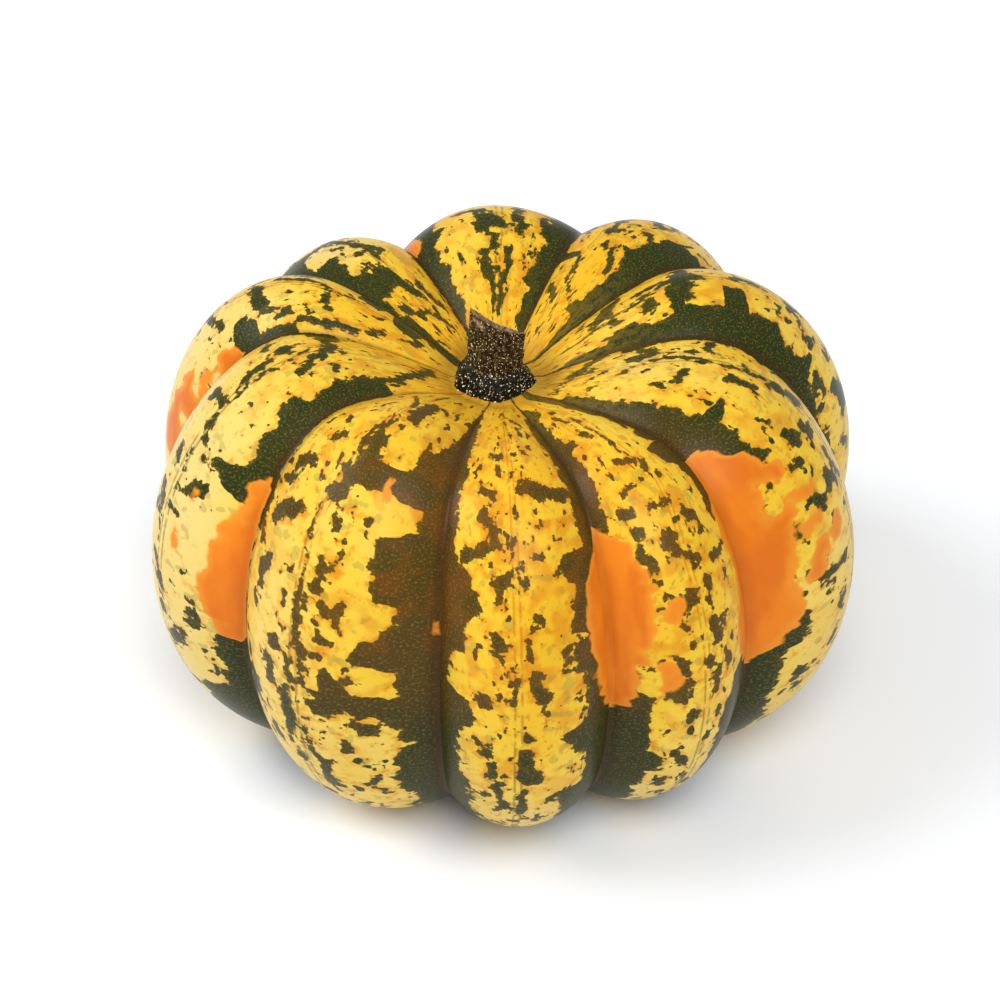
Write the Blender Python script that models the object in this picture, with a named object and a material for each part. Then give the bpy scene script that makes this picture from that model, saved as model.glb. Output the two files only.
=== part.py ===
"""Mottled acorn squash with ten lobes and a short dry stem.

Metres, +Z up. The origin is the middle of the flat blossom scar that the fruit stands on.
The rind is a sphere primitive whose points are moved out to the lobes, and the stem is a
disc that is extruded upward ring by ring.
"""
import math

import bmesh
import bpy

# The lobes, anticlockwise from above, starting with the front one: how far each one's back
# reaches from the axis, and how high its crown stands.
LOBES = (
    (0.0705, 0.0860),
    (0.0720, 0.0850),
    (0.0762, 0.0865),
    (0.0785, 0.0895),
    (0.0765, 0.0880),
    (0.0690, 0.0867),
    (0.0722, 0.0854),
    (0.0734, 0.0909),
    (0.0740, 0.0902),
    (0.0715, 0.0910),
)
# The furrow that comes before each lobe: where it runs, in degrees from +X, how far it lies
# in from the backs of its two lobes, and how far down from their crowns.
FURROWS = (
    (-101, 0.0095, 0.0040),
    (-69, 0.0090, 0.0045),
    (-40, 0.0090, 0.0040),
    (2, 0.0095, 0.0030),
    (35.5, 0.0090, 0.0040),
    (68, 0.0095, 0.0045),
    (115, 0.0110, 0.0060),
    (148, 0.0090, 0.0045),
    (179, 0.0105, 0.0040),
    (218, 0.0085, 0.0040),
)
LOBE_ROUNDNESS = 0.85      # power of the sine across a lobe: below 1 is a full back and a tight furrow

# The meridian of a lobe or a furrow, from the stem's seat to the blossom scar.
SEAT_RADIUS = 0.0095       # flat disc in the cavity that the stem grows from
SEAT_HEIGHT = 0.0765
CROWN_RADIUS = 0.0395      # the ring where the lobes are highest
CAVITY_POWER = 1.6         # 1 is a cone, more is a bowl that steepens towards the seat
BELLY_HEIGHT = 0.0445      # the ring where the lobes are widest
SHOULDER_FULLNESS = 2.0    # superellipse power above the belly, 2 is an ellipse
FLANK_FULLNESS = 2.12      # and below it
FOOT_RADIUS = 0.0355       # the ring of low points that the lobes stand on
FURROW_LIFT = 0.0040       # height of a furrow over that ring
SCAR_RADIUS = 0.0080       # flat disc of the blossom scar
UNDERSIDE_ARCH = 0.0012    # hollow of the underside between the lobes' feet and the scar
LEAN = (0.0, 0.070)        # sideways shift in X and Y for each unit of height

# Facets of the rind: columns for each lobe, and steps in each stretch of the meridian.
LOBE_COLUMNS = 12
STRETCH_STEPS = (2, 6, 10, 10, 5, 2)

# The stem, measured from the seat.
STEM_GAP = 0.0003          # clearance between the stem's foot and the seat
STEM_SHIFT = -0.0007       # the stem grows a little to the left of the axis
STEM_NECK_RADIUS = 0.0055
STEM_FLATNESS = 0.25       # share that the stem is thinner from front to back at its end
STEM_COLLAR_SPREAD = 0.0028  # how far the collar at the foot stands out from the neck
STEM_COLLAR_RISE = 0.28    # share of the height that the collar takes
STEM_COLLAR_POWER = 0.75   # 1 is a cone, less is rounder
STEM_RIBS = 5
STEM_RIB_DEPTH = 0.06      # share of the radius that the ribs stand out and the hollows lie in
STEM_FRONT_RIB = -84       # degrees
STEM_CUT_HEIGHT = 0.0135   # on the axis
STEM_CUT_SLOPE = (-0.65, -0.62)
STEM_CUT_HOLLOW = 50.0     # how the cut turns up to both sides, per metre
STEM_BEND = 0.0007         # how far the end leans back over to the right
STEM_SIDES = 40
STEM_RINGS = 14
STEM_RING_CROWDING = 1.6   # 1 spaces the rings evenly, more crowds them at the foot

RIND_YELLOW = (0.80, 0.52, 0.10, 1.0)
STEM_BROWN = (0.060, 0.052, 0.030, 1.0)


def new_collection(name):
    collection = bpy.data.collections.new(name)
    bpy.context.scene.collection.children.link(collection)
    return collection


def finish(name, colour, roughness):
    """A Principled material of one colour."""
    material = bpy.data.materials.new(name)
    material.use_nodes = True
    shader = material.node_tree.nodes["Principled BSDF"]
    shader.inputs["Base Color"].default_value = colour
    shader.inputs["Roughness"].default_value = roughness
    shader.inputs["Metallic"].default_value = 0.0
    return material


def add_part(name, bm, material, collection, parent):
    """Turns a bmesh into a smooth-shaded object under the parent."""
    mesh = bpy.data.meshes.new(name)
    bmesh.ops.recalc_face_normals(bm, faces=bm.faces)
    bm.to_mesh(mesh)
    bm.free()
    mesh.materials.append(material)
    mesh.shade_smooth()
    mesh.set_sharp_from_angle(angle=math.radians(35))
    part = bpy.data.objects.new(name, mesh)
    collection.objects.link(part)
    part.parent = parent
    return part


def blend(start, end, share):
    return start + (end - start) * share


def meridian(along, reach, crown, foot):
    """Radius and height at a place along a meridian: the whole part of `along` counts the
    stretches passed (seat, cavity, shoulder, flank, underside, scar) and the rest is the
    share of the next one."""
    stretch = min(int(along), len(STRETCH_STEPS) - 1)
    share = along - stretch
    turn = share * math.pi / 2
    if stretch == 0:
        return SEAT_RADIUS * share, SEAT_HEIGHT
    if stretch == 1:
        depth = (crown - SEAT_HEIGHT) * (1 - share) ** CAVITY_POWER
        return blend(SEAT_RADIUS, CROWN_RADIUS, share), crown - depth
    if stretch == 2:
        power = 2 / SHOULDER_FULLNESS
        return (blend(CROWN_RADIUS, reach, math.sin(turn) ** power),
                blend(BELLY_HEIGHT, crown, math.cos(turn) ** power))
    if stretch == 3:
        power = 2 / FLANK_FULLNESS
        return (blend(FOOT_RADIUS, reach, math.cos(turn) ** power),
                blend(BELLY_HEIGHT, foot, math.sin(turn) ** power))
    if stretch == 4:
        arch = UNDERSIDE_ARCH * math.sin(math.pi * share)
        return blend(FOOT_RADIUS, SCAR_RADIUS, share), foot * (1 - share) + arch
    return SCAR_RADIUS * (1 - share), 0.0


def rind_point(around, along):
    """A point of the rind: `around` counts lobes from the first furrow, `along` is as above."""
    lobe = int(around) % len(LOBES)
    share = around - int(around)
    reach, crown = LOBES[lobe]
    # the nearer of the two furrows beside this lobe, and the lobe on that furrow's other side
    furrow = lobe if share < 0.5 else (lobe + 1) % len(LOBES)
    other = furrow - 1 if furrow == lobe else furrow
    _, inset, drop = FURROWS[furrow]
    furrow_radius, furrow_height = meridian(along, (reach + LOBES[other][0]) / 2 - inset,
                                            (crown + LOBES[other][1]) / 2 - drop, FURROW_LIFT)
    crest_radius, crest_height = meridian(along, reach, crown, 0.0)
    fullness = max(math.sin(math.pi * share), 0.0) ** LOBE_ROUNDNESS
    radius = blend(furrow_radius, crest_radius, fullness)
    height = blend(furrow_height, crest_height, fullness)
    start = FURROWS[lobe][0]
    end = FURROWS[(lobe + 1) % len(LOBES)][0] + (360 if lobe == len(LOBES) - 1 else 0)
    azimuth = math.radians(blend(start, end, share))
    return (radius * math.cos(azimuth) + LEAN[0] * height,
            radius * math.sin(azimuth) + LEAN[1] * height, height)


def build_fruit(collection, parent):
    """The rind: a sphere whose rings and columns are laid along the meridians."""
    stations = [stretch + step / steps for stretch, steps in enumerate(STRETCH_STEPS)
                for step in range(steps)]
    stations.append(float(len(STRETCH_STEPS)))
    rings = len(stations) - 1
    columns = LOBE_COLUMNS * len(LOBES)
    bm = bmesh.new()
    bmesh.ops.create_uvsphere(bm, u_segments=columns, v_segments=rings, radius=1.0)
    for vertex in bm.verts:
        ring = round(math.acos(max(-1.0, min(1.0, vertex.co.z))) / math.pi * rings)
        column = round(math.atan2(vertex.co.y, vertex.co.x) / math.tau * columns) % columns
        vertex.co = rind_point(column / LOBE_COLUMNS, stations[ring])
    return add_part("fruit", bm, finish("rind", RIND_YELLOW, 0.42), collection, parent)


def stem_point(turn, rise):
    """A point of the stem's side: five ribs on a neck that stands on a sloping collar."""
    ribs = math.cos(STEM_RIBS * (turn - math.radians(STEM_FRONT_RIB)))
    collar = max(1 - rise / STEM_COLLAR_RISE, 0.0) ** STEM_COLLAR_POWER
    radius = (STEM_NECK_RADIUS + STEM_COLLAR_SPREAD * collar) * (1 + STEM_RIB_DEPTH * ribs)
    x = radius * math.cos(turn) + STEM_BEND * rise ** 2
    y = radius * math.sin(turn) * (1 - STEM_FLATNESS * rise)
    top = STEM_CUT_HEIGHT + STEM_CUT_SLOPE[0] * x + STEM_CUT_SLOPE[1] * y + STEM_CUT_HOLLOW * x ** 2
    return x, y, rise * (top - STEM_GAP) + STEM_GAP


def build_stem(collection, parent):
    """The stem: its foot's disc extruded upward, ring by ring, to the oblique cut."""
    bm = bmesh.new()
    bmesh.ops.create_circle(bm, cap_ends=True, segments=STEM_SIDES, radius=1.0)
    turns = {vertex: math.atan2(vertex.co.y, vertex.co.x) for vertex in bm.verts}
    for vertex, turn in turns.items():
        vertex.co = stem_point(turn, 0.0)
    top = bm.faces[:]
    for ring in range(1, STEM_RINGS + 1):
        below = {tuple(vertex.co): turns[vertex] for vertex in top[0].verts}
        grown = bmesh.ops.extrude_face_region(bm, geom=top)["geom"]
        if ring > 1:
            bmesh.ops.delete(bm, geom=top, context="FACES_ONLY")
        top = [item for item in grown if isinstance(item, bmesh.types.BMFace)]
        turns = {vertex: below[tuple(vertex.co)] for vertex in top[0].verts}
        for vertex, turn in turns.items():
            vertex.co = stem_point(turn, (ring / STEM_RINGS) ** STEM_RING_CROWDING)
    stem = add_part("stem", bm, finish("dry_stem", STEM_BROWN, 0.85), collection, parent)
    stem.location = (LEAN[0] * SEAT_HEIGHT + STEM_SHIFT, LEAN[1] * SEAT_HEIGHT, SEAT_HEIGHT)
    return stem


for old in list(bpy.data.objects):
    bpy.data.objects.remove(old)

squash = new_collection("acorn_squash")
base = bpy.data.objects.new("acorn_squash", None)
squash.objects.link(base)
build_fruit(squash, base)
build_stem(squash, base)
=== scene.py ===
"""Mottled acorn squash: the looks of the rind and of the dry stem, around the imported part."""
import math

import bpy
import numpy as np
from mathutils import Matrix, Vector, noise


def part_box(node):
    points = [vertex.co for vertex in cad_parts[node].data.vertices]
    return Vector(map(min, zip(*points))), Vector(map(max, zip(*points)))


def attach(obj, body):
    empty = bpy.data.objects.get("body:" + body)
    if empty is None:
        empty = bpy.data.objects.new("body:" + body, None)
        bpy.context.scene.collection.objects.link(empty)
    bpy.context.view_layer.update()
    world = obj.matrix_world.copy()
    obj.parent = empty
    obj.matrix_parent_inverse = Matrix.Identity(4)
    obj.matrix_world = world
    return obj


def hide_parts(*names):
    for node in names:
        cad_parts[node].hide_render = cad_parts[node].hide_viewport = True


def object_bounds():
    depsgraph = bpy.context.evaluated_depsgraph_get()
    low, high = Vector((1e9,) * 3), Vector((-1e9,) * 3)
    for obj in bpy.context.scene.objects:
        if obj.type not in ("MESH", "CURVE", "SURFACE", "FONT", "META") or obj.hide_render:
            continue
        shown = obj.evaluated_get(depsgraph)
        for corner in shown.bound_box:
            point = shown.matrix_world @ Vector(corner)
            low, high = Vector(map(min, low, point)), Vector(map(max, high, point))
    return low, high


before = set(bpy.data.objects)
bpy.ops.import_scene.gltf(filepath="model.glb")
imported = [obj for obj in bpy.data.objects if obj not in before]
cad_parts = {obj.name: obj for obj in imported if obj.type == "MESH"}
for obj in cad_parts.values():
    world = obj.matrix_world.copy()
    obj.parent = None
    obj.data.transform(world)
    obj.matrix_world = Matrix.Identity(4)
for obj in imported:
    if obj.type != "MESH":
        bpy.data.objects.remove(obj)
cad_low, cad_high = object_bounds()

# The board and the lights: a plain pale board under the squash, a broad soft lamp high up on
# its left, another higher up in front of it, and pale air all round.
BOARD_SIZE = 6.0
KEY_PLACE = (-1.10, 0.05, 1.10)
KEY_SIZE = 1.0
KEY_WATTS = 13.5
FRONT_PLACE = (0.30, -0.90, 1.50)
FRONT_SIZE = 1.2
FRONT_WATTS = 20.0
AIR_STRENGTH = 0.46


def linear(red, green, blue):
    """A colour named by its 0 to 255 screen values, as the shader's linear RGBA."""
    parts = [part / 255 for part in (red, green, blue)]
    return tuple(p / 12.92 if p <= 0.04045 else ((p + 0.055) / 1.055) ** 2.4 for p in parts) + (1.0,)


class Wire:
    """One output of a node, so that sums on it are written as plain expressions."""

    def __init__(self, nodes, socket):
        self.nodes, self.socket = nodes, socket

    def maths(self, operation, *values):
        return self.nodes.add("ShaderNodeMath", {"operation": operation}, dict(enumerate(values)))

    def __add__(self, other):
        return self.maths("ADD", self, other)

    def __sub__(self, other):
        return self.maths("SUBTRACT", self, other)

    def __rsub__(self, other):
        return self.maths("SUBTRACT", other, self)

    def __mul__(self, other):
        return self.maths("MULTIPLY", self, other)

    def __truediv__(self, other):
        return self.maths("DIVIDE", self, other)

    def over(self, other):
        """The larger of the two."""
        return self.maths("MAXIMUM", self, other)

    def size(self):
        return self.maths("ABSOLUTE", self)

    def whole(self):
        return self.maths("FLOOR", self)

    def step(self, start, end):
        """0 below start and 1 above end, with a soft ramp between."""
        return self.nodes.add("ShaderNodeMapRange", {"interpolation_type": "SMOOTHSTEP"},
                              {"Value": self, "From Min": start, "From Max": end,
                               "To Min": 0.0, "To Max": 1.0})


class Finish:
    """A material under construction, ending in one Principled shader."""

    def __init__(self, name):
        self.material = bpy.data.materials.new(name)
        self.material.use_nodes = True
        self.tree = self.material.node_tree
        self.shader = self.tree.nodes["Principled BSDF"]

    def set(self, node, sockets):
        for key, value in sockets.items():
            if isinstance(value, Wire):
                self.tree.links.new(value.socket, node.inputs[key])
            else:
                node.inputs[key].default_value = value

    def add(self, kind, settings, sockets, output=0):
        """A node of this kind with its settings, then its sockets' values or links."""
        node = self.tree.nodes.new(kind)
        for key, value in settings.items():
            setattr(node, key, value)
        self.set(node, sockets)
        return Wire(self, node.outputs[output])

    def field(self, name):
        """A number stored on the mesh."""
        return self.add("ShaderNodeAttribute", {"attribute_name": name}, {}, "Fac")

    def split(self, vector):
        """The first two numbers of a vector."""
        node = self.tree.nodes.new("ShaderNodeSeparateXYZ")
        self.set(node, {0: vector})
        return Wire(self, node.outputs[0]), Wire(self, node.outputs[1])

    def map_place(self):
        """The place on the piece's map, across it and up it, each from 0 to 1."""
        return self.split(self.add("ShaderNodeUVMap", {"uv_map": "OFBake"}, {}))

    def vector(self, x, y, z=0.0):
        return self.add("ShaderNodeCombineXYZ", {}, {0: x, 1: y, 2: z})

    def noise(self, place, scale, detail=2.0, rough=0.5):
        return self.add("ShaderNodeTexNoise", {}, {"Vector": place, "Scale": scale, "Detail": detail,
                                                   "Roughness": rough})

    def mix(self, share, first, second):
        """The first colour at share 0, the second at share 1."""
        return self.add("ShaderNodeMix", {"data_type": "RGBA"}, {0: share, 6: first, 7: second}, 2)

    def bump(self, height, distance, strength=1.0):
        return self.add("ShaderNodeBump", {}, {"Height": height, "Distance": distance, "Strength": strength})


def area_lamp(name, place, size, watts, aim):
    lamp = bpy.data.objects.new(name, bpy.data.lights.new(name, "AREA"))
    lamp.data.shape = "DISK"
    lamp.data.size = size
    lamp.data.energy = watts
    lamp.location = place
    lamp.rotation_euler = (aim - lamp.location).to_track_quat("-Z", "Y").to_euler()
    bpy.context.scene.collection.objects.link(lamp)


middle = (cad_low + cad_high) / 2
area_lamp("key_lamp", KEY_PLACE, KEY_SIZE, KEY_WATTS, middle)
area_lamp("front_lamp", FRONT_PLACE, FRONT_SIZE, FRONT_WATTS, middle)

air = bpy.data.worlds.new("air")
air.use_nodes = True
air.node_tree.nodes["Background"].inputs["Color"].default_value = (1.0, 1.0, 1.0, 1.0)
air.node_tree.nodes["Background"].inputs["Strength"].default_value = AIR_STRENGTH
bpy.context.scene.world = air
bpy.context.scene.view_settings.view_transform = "Standard"

board_finish = Finish("board_paint")
board_finish.set(board_finish.shader, {"Base Color": (0.91, 0.93, 0.96, 1.0), "Roughness": 0.9,
                                       "Specular IOR Level": 0.0})
bpy.ops.mesh.primitive_plane_add(size=BOARD_SIZE, location=(0.0, 0.0, 0.0))
board = bpy.context.active_object
board.name = "board"
board.data.materials.append(board_finish.material)

# The camera: a long lens, a little under half a right angle above the board, in front of the
# narrow front lobe and aimed just above the middle of the fruit.
CAMERA_RISE = math.radians(39.8)
CAMERA_DISTANCE = 0.725
CAMERA_AIM = (0.0005, 0.0, 0.0482)
CAMERA_LENS = 124.9

camera = bpy.data.objects.new("camera", bpy.data.cameras.new("camera"))
camera.data.lens = CAMERA_LENS
camera.data.sensor_width = 36.0
camera.location = (CAMERA_AIM[0], CAMERA_AIM[1] - CAMERA_DISTANCE * math.cos(CAMERA_RISE),
                   CAMERA_AIM[2] + CAMERA_DISTANCE * math.sin(CAMERA_RISE))
camera.rotation_euler = (math.pi / 2 - CAMERA_RISE, 0.0, 0.0)
bpy.context.scene.collection.objects.link(camera)
bpy.context.scene.camera = camera

# The rind: ten lobes that grew from the stem's seat over the crown and the belly to the
# blossom scar. The lobes and furrows have the sizes of the solid, in metres and degrees,
# starting with the front lobe and going anticlockwise from above. First, how far each lobe's
# back reaches from the axis, and how high its crown stands.
LOBES = np.array((
    (0.0705, 0.0860),
    (0.0720, 0.0850),
    (0.0762, 0.0865),
    (0.0785, 0.0895),
    (0.0765, 0.0880),
    (0.0690, 0.0867),
    (0.0722, 0.0854),
    (0.0734, 0.0909),
    (0.0740, 0.0902),
    (0.0715, 0.0910),
))
# The furrow that comes before each lobe: where it runs, in degrees from +X, how far it lies
# in from the backs of its two lobes, and how far down from their crowns.
FURROWS = np.array((
    (-101, 0.0095, 0.0040),
    (-69, 0.0090, 0.0045),
    (-40, 0.0090, 0.0040),
    (2, 0.0095, 0.0030),
    (35.5, 0.0090, 0.0040),
    (68, 0.0095, 0.0045),
    (115, 0.0110, 0.0060),
    (148, 0.0090, 0.0045),
    (179, 0.0105, 0.0040),
    (218, 0.0085, 0.0040),
))
LOBE_COUNT = len(LOBES)
STRETCHES = 6              # of a meridian: seat, cavity, shoulder, flank, underside and scar
LOBE_ROUNDNESS = 0.85
FURROW_SOFTNESS = 0.018    # 0 is a sharp furrow floor, more is a rounder one
SEAT_RADIUS = 0.0095
SEAT_HEIGHT = 0.0765
CROWN_RADIUS = 0.0395
CAVITY_POWER = 1.6
BELLY_HEIGHT = 0.0445
SHOULDER_FULLNESS = 2.0
FLANK_FULLNESS = 2.12
FOOT_RADIUS = 0.0355
FURROW_LIFT = 0.0040
SCAR_RADIUS = 0.0080
UNDERSIDE_ARCH = 0.0012
LEAN = (0.0, 0.070)
RIND_COLUMNS = 440
RIND_ROWS = 220
PATH_STEPS = 6000          # along the mean meridian, when its length is measured


def meridian(along, reach, crown, foot):
    """Radii and heights along meridians, each stretch one unit of `along`."""
    share = [np.clip(along - stretch, 0.0, 1.0) for stretch in range(STRETCHES)]
    turn = [part * math.pi / 2 for part in share]
    over, under = 2 / SHOULDER_FULLNESS, 2 / FLANK_FULLNESS
    arch = UNDERSIDE_ARCH * np.sin(math.pi * share[4])
    radii = (SEAT_RADIUS * share[0],
             SEAT_RADIUS + (CROWN_RADIUS - SEAT_RADIUS) * share[1],
             CROWN_RADIUS + (reach - CROWN_RADIUS) * np.sin(turn[2]) ** over,
             FOOT_RADIUS + (reach - FOOT_RADIUS) * np.abs(np.cos(turn[3])) ** under,
             FOOT_RADIUS + (SCAR_RADIUS - FOOT_RADIUS) * share[4],
             SCAR_RADIUS * (1 - share[5]))
    heights = (SEAT_HEIGHT + 0 * share[0],
               crown - (crown - SEAT_HEIGHT) * (1 - share[1]) ** CAVITY_POWER,
               BELLY_HEIGHT + (crown - BELLY_HEIGHT) * np.abs(np.cos(turn[2])) ** over,
               BELLY_HEIGHT + (foot - BELLY_HEIGHT) * np.sin(turn[3]) ** under,
               foot * (1 - share[4]) + arch,
               0 * share[5])
    stretch = np.minimum(along.astype(int), STRETCHES - 1)
    return np.choose(stretch, np.broadcast_arrays(*radii)), np.choose(stretch, np.broadcast_arrays(*heights))


def lobe_fullness(share):
    """0 in the furrows and 1 on the crest, with a softly rounded furrow floor."""
    soft = FURROW_SOFTNESS ** LOBE_ROUNDNESS
    full = (np.sin(math.pi * share) ** 2 + FURROW_SOFTNESS ** 2) ** (LOBE_ROUNDNESS / 2) - soft
    return full / ((1 + FURROW_SOFTNESS ** 2) ** (LOBE_ROUNDNESS / 2) - soft)


def rind_points(around, along):
    """Places on the rind: `around` counts lobes from the first furrow."""
    lobe = around.astype(int) % LOBE_COUNT
    share = around - np.floor(around)
    furrow = np.where(share < 0.5, lobe, (lobe + 1) % LOBE_COUNT)
    before = (furrow - 1) % LOBE_COUNT
    fullness = lobe_fullness(share)
    inset_reach = (LOBES[furrow, 0] + LOBES[before, 0]) / 2 - FURROWS[furrow, 1]
    inset_crown = (LOBES[furrow, 1] + LOBES[before, 1]) / 2 - FURROWS[furrow, 2]
    low_radius, low_height = meridian(along, inset_reach, inset_crown, FURROW_LIFT)
    top_radius, top_height = meridian(along, LOBES[lobe, 0], LOBES[lobe, 1], 0.0)
    radius = low_radius + (top_radius - low_radius) * fullness
    height = low_height + (top_height - low_height) * fullness
    start = FURROWS[lobe, 0]
    end = np.where(lobe == LOBE_COUNT - 1, FURROWS[0, 0] + 360, FURROWS[(lobe + 1) % LOBE_COUNT, 0])
    azimuth = np.radians(start + (end - start) * share)
    return np.stack([radius * np.cos(azimuth) + LEAN[0] * height,
                     radius * np.sin(azimuth) + LEAN[1] * height, height], axis=-1)


# Rows are spaced evenly by the length of the skin from the stem's seat to the scar.
path = np.linspace(0.0, STRETCHES, PATH_STEPS + 1)
path_radius, path_height = meridian(path, LOBES[:, 0].mean(), LOBES[:, 1].mean(), 0.0)
path_length = np.concatenate([[0.0], np.cumsum(np.hypot(np.diff(path_radius), np.diff(path_height)))])
skin_length = path_length[-1]
row_length = np.linspace(0.0, skin_length, RIND_ROWS + 1)
row_along = np.interp(row_length, path_length, path)
column_around = np.arange(RIND_COLUMNS) * LOBE_COUNT / RIND_COLUMNS

LOBE_BREADTH = 40.0        # millimetres that a lobe's width counts for in the markings
SWAY_REACH = 1.4           # millimetres that the edges waver at most
SWAY_FINENESS = 190        # waves of that wavering for each metre
STEP_QUICKNESS = 2.0       # 1 joins the places of a reach by straight lines, more by quicker steps
FAR_OUTSIDE = -99.0        # the depth, in millimetres, where there is no marking at all

# The markings: places are millimetres of skin from the stem's seat, reaches and
# strokes are shares of a lobe's width. First the dark green that fills each furrow: how far it
# reaches over the lobe before the furrow, and over the lobe after it.
GREEN = (
    (((5, 0), (16, .04), (28, .07), (32, .12), (35, .20), (42, .24), (44, .54), (48, .52), (50, .13),
      (54, .12), (57, .30), (66, .29), (69, .26), (70.5, .17), (74, .17), (76, .23), (79, .33), (83, .33),
      (84.5, .17), (88.5, .16), (91, .50), (93.5, .42), (95, .18), (104, .14), (108, .19), (125, .14)),
     ((5, .03), (12, .06), (22, .09), (36, .10), (44, .07), (54, .07), (58, .12), (61, .19), (65, .24),
      (68, .26), (71, .17), (77, .16), (79, .08), (86, .08), (88, .19), (93, .23), (96, .15), (108, .13),
      (113, .18), (120, .20))),
    (((8, .02), (12, .15), (20, .20), (28, .15), (36, .12), (54, .11), (57, .28), (60, .30), (62, .20),
      (68, .24), (72, .25), (74, .14), (76, .27), (81, .25), (83, .19), (94, .19), (95.5, .33), (99, .27),
      (104, .20), (112, .20), (115, .32), (120, .30)),
     ((3, .03), (7, .20), (10, .25), (12, .10), (18, .10), (25, .12), (26, .20), (27, .20), (29, .12),
      (40, .12), (48, .10), (52, .08), (60, .10), (90, .12), (93, .20), (107, .20), (109, .30),
      (114, .28), (115, .20))),
    (((6, .38), (12, .35), (18, .28), (25, .17), (30, .12), (32, .20), (35, .20), (36, .10), (37.5, .30),
      (42, .25), (45, .16), (50, .12), (56, .14), (60, .10), (90, .10), (95, .30), (99, .37), (110, .40),
      (140, .42)),
     ((6, .04), (10, .12), (22, .15), (28, .19), (37, .20), (39, .28), (41, .42), (42.5, .40),
      (43.5, .27), (50, .30), (54, .33), (56, .20), (60, .15), (88, .12), (91, .25), (97, .25), (99, .15),
      (110, .15), (125, .19), (140, .22))),
    (((8, 0), (18, 0), (19, .10), (24, .05), (26, .02), (44, .03), (50, .08), (60, .12), (90, .15),
      (140, .20)),
     ((2, .05), (8, .12), (14, .15), (17, .24), (20, .27), (23, .20), (27, .18), (29, .25), (30.5, .50),
      (33, .30), (36, .25), (39, .25), (41, .50), (44, .45), (46, .26), (51, .24), (56, .18), (60, .17),
      (63, .24), (66, .08), (75, .08), (100, .14), (140, .20))),
    (((5, .02), (20, .08), (35, .10), (50, .12), (80, .15), (140, .20)),
     ((3, .10), (8, .17), (12, .20), (15, .32), (17, .24), (22, .24), (26, .24), (30, .30), (32.5, .38),
      (34.5, .28), (38, .28), (42, .28), (46, .25), (48, .15), (50, .05), (60, .10), (100, .15),
      (140, .20))),
    (((5, 0), (24, 0), (26, .27), (28, .25), (29.5, .02), (40, .10), (60, .15), (140, .20)),
     ((5, .08), (8, .18), (13, .17), (16, .13), (18, .22), (25, .25), (27, .15), (30, .13), (32, .19),
      (36, .20), (38, .14), (42, .17), (60, .20), (140, .20))),
    (((5, .06), (12, .13), (20, .12), (30, .13), (38, .18), (50, .20), (140, .20)),
     ((5, 0), (20, .02), (35, .08), (60, .12), (140, .20))),
    (((6, .10), (10, .12), (15, .15), (18, .10), (23, .12), (24.5, .45), (27, .35), (30, .32), (33, .22),
      (36, .25), (40, .30), (42, .12), (46, .15), (50, .30), (60, .25), (140, .20)),
     ((8, .30), (10, .55), (14, .55), (16, .20), (19, .45), (22, .40), (24, .20), (30, .20), (34, .35),
      (40, .35), (50, .30), (60, .20), (140, .20))),
    (((5, -.05), (33, -.02), (35, .08), (44, .08), (46, .22), (51, .22), (52, .05), (60, .02), (100, .10),
      (140, .20)),
     ((5, 0), (25, 0), (27, .15), (30, .10), (32, .02), (60, .10), (140, .15))),
    (((5, -.05), (18, -.02), (20, .22), (24, .28), (28, .22), (33, .20), (36, .17), (41, .24), (44, .20),
      (48, .17), (56, .15), (60, .30), (62, .25), (64, .16), (66, .05), (95, .05), (98, .13), (105, .12),
      (110, .15), (117, .30), (125, .35), (140, .35)),
     ((5, -.05), (55, 0), (58, .05), (67, .05), (69, 0), (90, .03), (100, .10), (110, .15), (140, .25))),
)
# The orange windows in the furrows, given in the same way.
ORANGE = {
    0: (((70, -.10), (73, .03), (77, .03), (80, -.10)),
        ((70, -.10), (75, .01), (80, -.10))),
    1: (((50, -.10), (55, .02), (60, .08), (64, .13), (68, .15), (76, .14), (84, .13), (90, .10),
         (94, .05), (97, 0), (99, -.10)),
        ((48, -.10), (51, .03), (54, .08), (55, .19), (58, .21), (64, .25), (66, .29), (68, .24),
         (75, .24), (78, .20), (80, .15), (83, .18), (85, .13), (92, .13), (94, .08), (97, .02),
         (98, -.10))),
    2: (((51, -.10), (53, .03), (58, .09), (64, .12), (72, .12), (77, .12), (80, .18), (84, .21),
         (90, .22), (93, .15), (97, .05), (99, -.10)),
        ((43, -.10), (45, .08), (48, .15), (51, .24), (55, .27), (56.5, .37), (59, .36), (61, .28),
         (67, .29), (70, .23), (76, .20), (85, .20), (90, .22), (93, .20), (96, .12), (100, .02),
         (102, -.10))),
    4: (((58, -.10), (63, .04), (68, .10), (76, .15), (84, .13), (91, .06), (98, -.10)),
        ((54, -.10), (59, .05), (65, .11), (72, .17), (80, .15), (88, .16), (94, .06), (100, -.10))),
    6: (((33, -.10), (35, .03), (40, .07), (45, .08), (55, -.10)),
        ((30, -.10), (36, .05), (50, .07), (60, -.10))),
    7: (((60, -.10), (64, .05), (70, .11), (80, .14), (88, .10), (95, .03), (100, -.10)),
        ((62, -.10), (67, .06), (75, .09), (83, .14), (91, .08), (97, -.10))),
    8: (((47, -.10), (49, .02), (52, .09), (57, .15), (60, .12), (65, .22), (70, .27), (76, .30),
         (80, .34), (86, .32), (92, .20), (98, -.10)),
        ((50, -.10), (60, .02), (85, .04), (95, -.10))),
    9: (((55, -.10), (57, .02), (61, .08), (68, .10), (72, .15), (76, .19), (88, .20), (91, .18),
         (93, .12), (96, .11), (98, -.10)),
        ((55, -.10), (60, -.02), (95, 0), (97, -.10))),
}
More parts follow.
